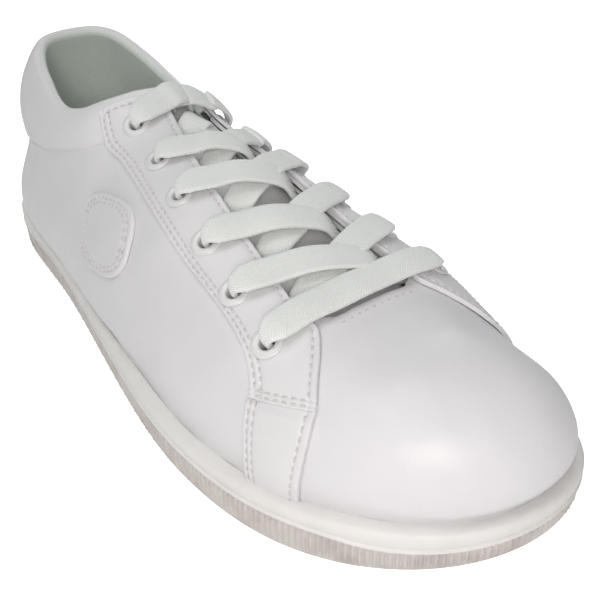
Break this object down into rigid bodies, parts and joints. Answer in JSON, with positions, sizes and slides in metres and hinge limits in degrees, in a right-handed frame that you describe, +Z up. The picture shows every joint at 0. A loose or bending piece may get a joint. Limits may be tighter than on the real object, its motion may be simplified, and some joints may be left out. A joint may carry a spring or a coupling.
{
  "type": "cheer shoe",
  "caption": "White low-top lace-up trainer for cheerleading: ribbed rubber cupsole, padded collar, tongue and flat criss-cross lace, with a bending forefoot.",
  "frame": {"origin": "on the ground under the sole, half way along its length and near its centre line", "axes": "+Z up, toe towards -Y, heel towards +Y, outer (lateral) side towards -X, inner (medial) side towards +X"},
  "size_m": [0.1051, 0.2769, 0.0855],
  "materials": {
    "white_leather": "smooth coated synthetic leather, soft sheen",
    "offwhite_rubber": "matt moulded rubber, ribbed side wall",
    "foam": "soft open foam",
    "fibre_board": "pressed fibre",
    "lining_textile": "grey brushed mesh lining",
    "white_lace": "flat woven lace",
    "aglet_plastic": "clear film over the lace's end",
    "eyelet_enamel": "white enamelled ring"
  },
  "bodies": {
    "rearfoot": {"aglet_a": "aglet_plastic", "aglet_b": "aglet_plastic", "back_stay": "white_leather", "collar_cover": "white_leather", "collar_foam": "foam", "eyelet_lateral_1": "eyelet_enamel", "eyelet_lateral_2": "eyelet_enamel", "eyelet_lateral_3": "eyelet_enamel", "eyelet_lateral_4": "eyelet_enamel", "eyelet_lateral_5": "eyelet_enamel", "eyelet_lateral_6": "eyelet_enamel", "eyelet_medial_1": "eyelet_enamel", "eyelet_medial_2": "eyelet_enamel", "eyelet_medial_3": "eyelet_enamel", "eyelet_medial_4": "eyelet_enamel", "eyelet_medial_5": "eyelet_enamel", "eyelet_medial_6": "eyelet_enamel", "eyestay_backer_lateral": "lining_textile", "eyestay_backer_medial": "lining_textile", "eyestay_lateral": "white_leather", "eyestay_medial": "white_leather", "foxing_rear": "offwhite_rubber", "heel_counter": "fibre_board", "heel_lining": "lining_textile", "insole_board_rear": "fibre_board", "lace": "white_lace", "midsole_rear": "foam", "outsole_rear": "offwhite_rubber", "quarter_lateral": "white_leather", "quarter_lining_lateral": "lining_textile", "quarter_lining_medial": "lining_textile", "quarter_medial": "white_leather", "saddle_lateral": "white_leather", "saddle_medial": "white_leather", "side_emblem": "white_leather", "sockliner_cover_rear": "lining_textile", "sockliner_foam_rear": "foam", "vamp": "white_leather", "vamp_lining": "lining_textile"},
    "forefoot": {"outsole_fore": "offwhite_rubber", "foxing_fore": "offwhite_rubber", "midsole_fore": "foam", "insole_board_fore": "fibre_board", "sockliner_foam_fore": "foam", "sockliner_cover_fore": "lining_textile", "toe_puff": "fibre_board"},
    "tongue": {"tongue_outer": "white_leather", "tongue_foam": "foam", "tongue_lining": "lining_textile"}
  },
  "joints": [
    {"name": "forefoot_flex", "type": "hinge", "parent": "rearfoot", "child": "forefoot", "pos_m": [0, -0.0765, 0.0172], "axis": [-1, 0, 0], "range_deg": [0, 30], "deforming": ["vamp", "vamp_lining", "eyestay_lateral", "eyestay_medial", "saddle_lateral", "saddle_medial", "quarter_lateral", "quarter_medial", "quarter_lining_lateral", "quarter_lining_medial"]},
    {"name": "tongue_tilt", "type": "hinge", "parent": "rearfoot", "child": "tongue", "pos_m": [0, -0.07103, 0.04597], "axis": [-1, 0, 0], "range_deg": [0, 8]}
  ]
}
